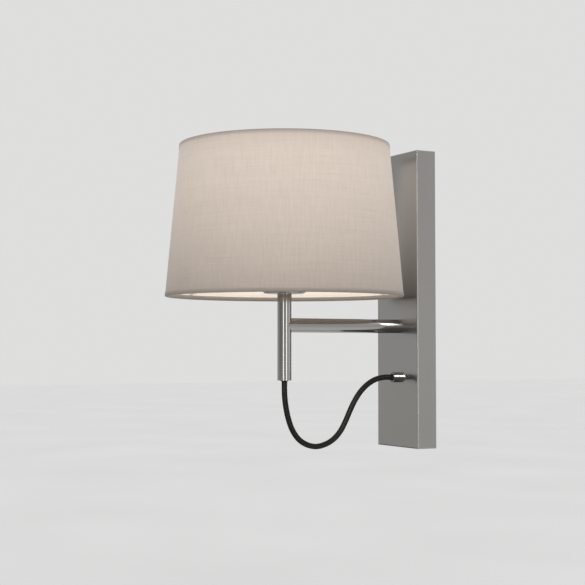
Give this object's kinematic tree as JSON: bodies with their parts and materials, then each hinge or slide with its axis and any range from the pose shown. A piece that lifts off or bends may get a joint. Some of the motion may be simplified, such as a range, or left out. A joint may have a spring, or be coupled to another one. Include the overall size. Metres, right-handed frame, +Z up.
{
  "type": "wall light",
  "caption": "Wall light with a box-shaped wall plate, a round arm and stem, a looped braided flex and a tapered drum shade over a screw-in bulb.",
  "frame": {"origin": "centre of the bracket's back face, on the wall", "axes": "+Z up, +Y into the wall, so the lamp stands out from the wall towards -Y; +X to the right when facing the wall"},
  "size_m": [0.234, 0.269, 0.3],
  "materials": {
    "satin_nickel": "satin brushed nickel plate",
    "polished_nickel": "polished nickel plate",
    "zinc_steel": "zinc-plated steel",
    "blackened_steel": "blackened steel",
    "brass": "plain brass",
    "black_nylon": "matt",
    "white_plastic": "moulded, slightly glossy",
    "core_insulation": "extruded",
    "braided_flex": "braided textile",
    "foam_pad": "foam",
    "shade_linen": "fine plain-weave cotton and linen",
    "shade_liner": "white laminated liner",
    "hem_tape": "folded tape of the same cloth",
    "white_wire": "white powder coat",
    "opal_glass": "opal",
    "cap_metal": "rolled",
    "light_source": "coated"
  },
  "bodies": {
    "bracket": {"wall_bracket": "zinc_steel", "bracket_earth_screw": "brass"},
    "lamp": {"wall_plate": "satin_nickel", "grub_bosses": "zinc_steel", "grub_screws": "blackened_steel", "backing_plate": "zinc_steel", "earth_stud": "brass", "earth_tag": "brass", "earth_nut": "brass", "arm": "satin_nickel", "arm_insert": "zinc_steel", "arm_bolt": "zinc_steel", "arm_washer": "zinc_steel", "stem": "satin_nickel", "stem_bush": "black_nylon", "stem_insert": "brass", "stem_nipple": "zinc_steel", "nipple_nut": "zinc_steel", "holder_cup": "satin_nickel", "holder_base": "white_plastic", "holder_skirt": "white_plastic", "screw_shell": "brass", "centre_contact": "brass", "holder_terminals": "brass", "holder_cores": "core_insulation", "flex": "braided_flex", "flex_in_stem": "braided_flex", "flex_tail": "braided_flex", "flex_gland": "polished_nickel", "gland_collar": "black_nylon", "gland_nut": "zinc_steel", "flex_crimp": "zinc_steel", "plate_cores": "core_insulation", "terminal_block": "white_plastic", "terminal_screws": "brass", "block_pad": "foam_pad"},
    "shade": {"shade_fabric": "shade_linen", "shade_liner": "shade_liner", "bottom_hem": "hem_tape", "top_hem": "hem_tape", "bottom_ring": "white_wire", "top_ring": "white_wire", "spider_arms": "white_wire", "fitter_ring": "white_wire"},
    "ring": {"shade_ring": "white_plastic"},
    "bulb": {"bulb_glass": "opal_glass", "bulb_cap": "cap_metal", "bulb_insulator": "black_nylon", "bulb_contact": "cap_metal", "bulb_stem": "light_source"}
  },
  "joints": [
    {"name": "plate_pull", "type": "slide", "parent": "bracket", "child": "lamp", "axis": [0, -1, 0], "range_m": [0, 0.04]},
    {"name": "shade_turn", "type": "hinge", "parent": "lamp", "child": "shade", "pos_m": [0, -0.152, 0.032], "axis": [0, 0, 1], "continuous": true},
    {"name": "ring_lift", "type": "slide", "parent": "lamp", "child": "ring", "axis": [0, 0, 1], "range_m": [0, 0.026]},
    {"name": "bulb_lift", "type": "slide", "parent": "lamp", "child": "bulb", "axis": [0, 0, 1], "range_m": [0, 0.14]}
  ]
}
